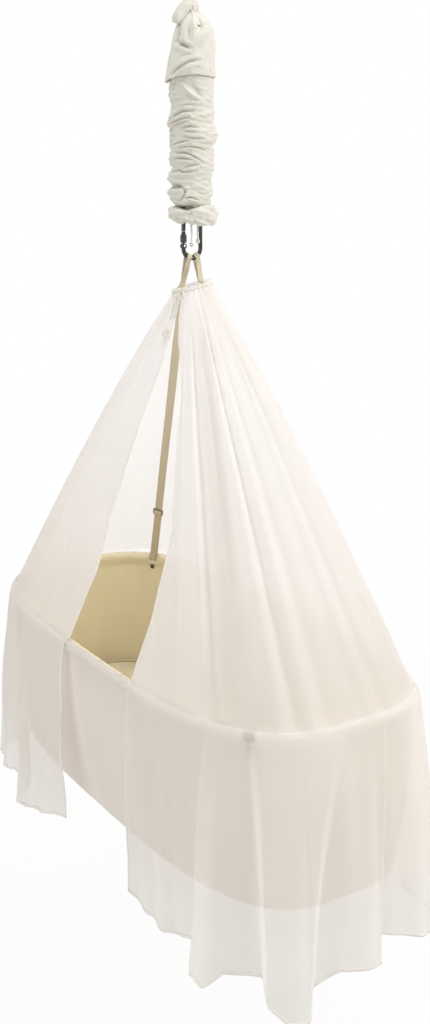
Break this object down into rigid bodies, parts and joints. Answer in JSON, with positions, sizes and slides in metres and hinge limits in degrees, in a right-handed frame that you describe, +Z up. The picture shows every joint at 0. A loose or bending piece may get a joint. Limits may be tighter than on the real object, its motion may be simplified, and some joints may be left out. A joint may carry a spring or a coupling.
{
  "type": "hanging baby cradle",
  "caption": "Fabric baby cradle on a steel hoop, hung by webbing straps from a carabiner and a covered spring, under a sheer gathered veil.",
  "frame": {"origin": "inside top of the hanging ring, where a ceiling hook bears, on the vertical line the cradle hangs from", "axes": "+Z up; +X along the cradle towards its foot end; -Y towards the side with the veil's slit"},
  "size_m": [1.0079, 0.4995, 1.455],
  "materials": {
    "cotton": "matte",
    "cord": "matte",
    "sheer_veil": "matte",
    "bag_cloth": "matte",
    "lining": "matte",
    "mattress": "matte",
    "webbing": "matte",
    "dark_steel": "satin",
    "bright_steel": "polished",
    "spring_steel": "satin",
    "board": "matte"
  },
  "bodies": {
    "hanger": {"hang_ring": "bright_steel", "cover_top": "cotton"},
    "link": {"hang_link": "bright_steel"},
    "spring_unit": {"spring_hook_upper": "bright_steel", "spring": "spring_steel", "cover_hood": "cotton", "cover_sleeve": "cotton"},
    "spring_end": {"cover_cuff": "cotton"},
    "lower_swivel": {"spring_hook_lower": "bright_steel", "cover_drawcord": "cord"},
    "carabiner": {"carabiner_body": "dark_steel", "carabiner_gate_pin": "bright_steel"},
    "gate": {"carabiner_gate": "dark_steel"},
    "gate_sleeve": {"carabiner_gate_sleeve": "bright_steel"},
    "cradle": {"strap_head": "webbing", "strap_foot": "webbing", "strap_slider_head_near": "dark_steel", "strap_slider_head_far": "dark_steel", "strap_slider_foot_near": "dark_steel", "strap_slider_foot_far": "dark_steel", "strap_rivet_head_near": "dark_steel", "strap_rivet_head_far": "dark_steel", "strap_rivet_foot_near": "dark_steel", "strap_rivet_foot_far": "dark_steel", "hoop_rod_head": "dark_steel", "hoop_rod_foot": "dark_steel", "hoop_ferrule_near": "bright_steel", "hoop_ferrule_far": "bright_steel", "hoop_binding": "bag_cloth", "bag_panel_foot": "bag_cloth", "bag_panel_far": "bag_cloth", "bag_panel_head": "bag_cloth", "bag_panel_near": "bag_cloth", "bag_base": "bag_cloth", "lining_wall": "lining", "lining_base": "lining", "base_board": "board", "veil": "sheer_veil", "veil_drawstring": "cord", "veil_bow_upper": "cord", "veil_bow_lower": "cord"},
    "mattress": {"mattress": "mattress"}
  },
  "joints": [
    {"name": "link_swing", "type": "hinge", "parent": "hanger", "child": "link", "pos_m": [0, 0, -0.01625], "axis": [1, 0, 0], "range_deg": [-15, 15]},
    {"name": "hook_swing", "type": "hinge", "parent": "link", "child": "spring_unit", "pos_m": [0, 0, -0.0452], "axis": [0, 1, 0], "range_deg": [-15, 15]},
    {"name": "spring_stretch", "type": "slide", "parent": "spring_unit", "child": "spring_end", "axis": [0, 0, -1], "range_m": [-0.015, 0.12], "stiffness_N_per_m": 1130, "springref_m": -0.0704, "deforming": ["spring", "cover_sleeve"]},
    {"name": "lower_swivel_turn", "type": "hinge", "parent": "spring_end", "child": "lower_swivel", "pos_m": [0, 0, -0.2851], "axis": [0, 0, 1], "continuous": true},
    {"name": "carabiner_swing", "type": "hinge", "parent": "lower_swivel", "child": "carabiner", "pos_m": [0, 0, -0.34733], "axis": [1, 0, 0], "range_deg": [-20, 20]},
    {"name": "gate_open", "type": "hinge", "parent": "carabiner", "child": "gate", "pos_m": [0, -0.0165, -0.39103], "axis": [1, 0, 0], "range_deg": [-24, 0], "stiffness_Nm_per_rad": 0.05, "springref_deg": 17.19},
    {"name": "gate_sleeve_slide", "type": "slide", "parent": "gate", "child": "gate_sleeve", "axis": [0, 0, 1], "range_m": [0, 0.01]},
    {"name": "cradle_tilt", "type": "hinge", "parent": "carabiner", "child": "cradle", "pos_m": [0, 0, -0.40952], "axis": [0, 1, 0], "range_deg": [-15, 15]},
    {"name": "mattress_lift", "type": "slide", "parent": "cradle", "child": "mattress", "axis": [0, 0, 1], "range_m": [0, 0.12]}
  ]
}
